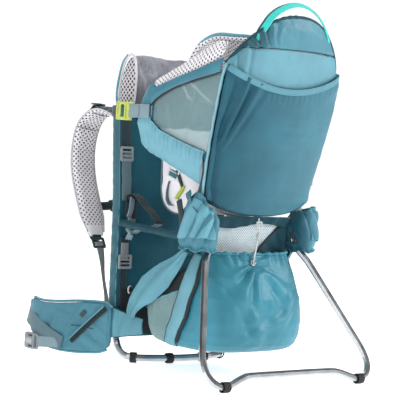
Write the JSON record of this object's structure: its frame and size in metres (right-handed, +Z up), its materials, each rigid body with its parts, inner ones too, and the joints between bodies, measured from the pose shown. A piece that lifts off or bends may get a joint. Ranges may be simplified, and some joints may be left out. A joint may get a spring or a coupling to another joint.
{
  "type": "child carrier backpack",
  "caption": "Framed child carrier backpack with folding kickstand, height adjustable seat, headrest, cockpit wings, padded harness and storage bag.",
  "frame": {"origin": "centre of the bounding box in X and Y, on the ground plane under the feet", "axes": "+Z up, +Y towards the wearer, +X to the right seen from outside"},
  "size_m": [0.458, 0.6404, 0.7501],
  "materials": {
    "teal_fabric": "teal ripstop polyamide",
    "dark_fabric": "dark teal webbing",
    "light_teal": "light teal polyester",
    "grey_fleece": "grey fleece",
    "air_mesh": "white spacer mesh",
    "grey_mesh": "grey mesh",
    "grey_webbing": "grey webbing",
    "turquoise": "turquoise webbing",
    "black_tube": "gloss black tube",
    "grey_tube": "satin anodised tube",
    "steel": "brushed",
    "black_rubber": "black rubber",
    "grey_plastic": "grey acetal",
    "dark_plastic": "dark green acetal",
    "lime_plastic": "lime acetal",
    "white_plastic": "white acetal",
    "plate_plastic": "black polyethylene"
  },
  "bodies": {
    "carrier": {"back_frame_tube": "grey_tube", "back_pad_left": "grey_mesh", "back_pad_right": "grey_mesh", "back_panel_cover": "teal_fabric", "back_plate": "plate_plastic", "bag_hook": "white_plastic", "base_foot_left_inner": "black_rubber", "base_foot_left_outer": "black_rubber", "base_foot_right_inner": "black_rubber", "base_foot_right_outer": "black_rubber", "carry_handle": "turquoise", "cockpit_wing_left": "light_teal", "cockpit_wing_right": "light_teal", "front_pad": "grey_fleece", "headrest_pad": "air_mesh", "headrest_panel": "light_teal", "headrest_pocket": "teal_fabric", "hinge_bracket_left": "steel", "hinge_bracket_right": "steel", "hinge_pin_left": "steel", "hinge_pin_right": "steel", "hip_buckle_plug": "grey_plastic", "hip_buckle_socket": "grey_plastic", "hip_webbing_left": "grey_webbing", "hip_webbing_right": "grey_webbing", "hip_wing_left": "teal_fabric", "hip_wing_right": "teal_fabric", "lumbar_pad": "air_mesh", "pivot_sleeve_left": "light_teal", "pivot_sleeve_right": "light_teal", "rear_mesh_panel": "grey_mesh", "seat_frame_tube": "grey_tube", "side_entry_buckle_left": "lime_plastic", "side_entry_buckle_right": "lime_plastic", "side_flap_left": "light_teal", "side_flap_right": "light_teal", "storage_bag": "teal_fabric"},
    "kickstand": {"kickstand_foot_left": "black_rubber", "kickstand_foot_right": "black_rubber", "kickstand_knuckle_left": "black_tube", "kickstand_knuckle_right": "black_tube", "kickstand_tube": "black_tube"},
    "child_seat_unit": {"child_seat": "air_mesh", "seat_buckle": "white_plastic", "seat_harness": "grey_webbing"},
    "shoulder_harness": {"shoulder_strap_left": "air_mesh", "shoulder_strap_right": "air_mesh", "strap_ladderlock_left": "grey_plastic", "strap_ladderlock_right": "grey_plastic", "strap_webbing_left": "grey_webbing", "strap_webbing_right": "grey_webbing", "yoke_plate": "plate_plastic"},
    "sternum_unit": {"sternum_buckle_plug": "dark_plastic", "sternum_buckle_socket": "dark_plastic", "sternum_strap_left": "dark_fabric", "sternum_strap_right": "dark_fabric"},
    "stirrup_left_unit": {"stirrup_left": "teal_fabric"},
    "stirrup_right_unit": {"stirrup_right": "teal_fabric"},
    "zip_pull": {"hip_zip_slider": "dark_plastic"}
  },
  "joints": [
    {"name": "kickstand_fold", "type": "hinge", "parent": "carrier", "child": "kickstand", "pos_m": [0, -0.1582, 0.273], "axis": [1, 0, 0], "range_deg": [0, 55]},
    {"name": "seat_height", "type": "slide", "parent": "carrier", "child": "child_seat_unit", "axis": [0, 0, 1], "range_m": [0, 0.08]},
    {"name": "back_length", "type": "slide", "parent": "carrier", "child": "shoulder_harness", "axis": [0, 0.0946, 0.9955], "range_m": [-0.04, 0.015]},
    {"name": "sternum_height", "type": "slide", "parent": "shoulder_harness", "child": "sternum_unit", "axis": [0, 0.4202, 0.9074], "range_m": [-0.025, 0.03]},
    {"name": "stirrup_left_height", "type": "slide", "parent": "carrier", "child": "stirrup_left_unit", "axis": [0, 0, 1], "range_m": [0, 0.07]},
    {"name": "stirrup_right_height", "type": "slide", "parent": "carrier", "child": "stirrup_right_unit", "axis": [0, 0, 1], "range_m": [0, 0.07]},
    {"name": "hip_zip", "type": "slide", "parent": "carrier", "child": "zip_pull", "axis": [-0.2789, 0.6274, -0.727], "range_m": [0, 0.045]}
  ]
}
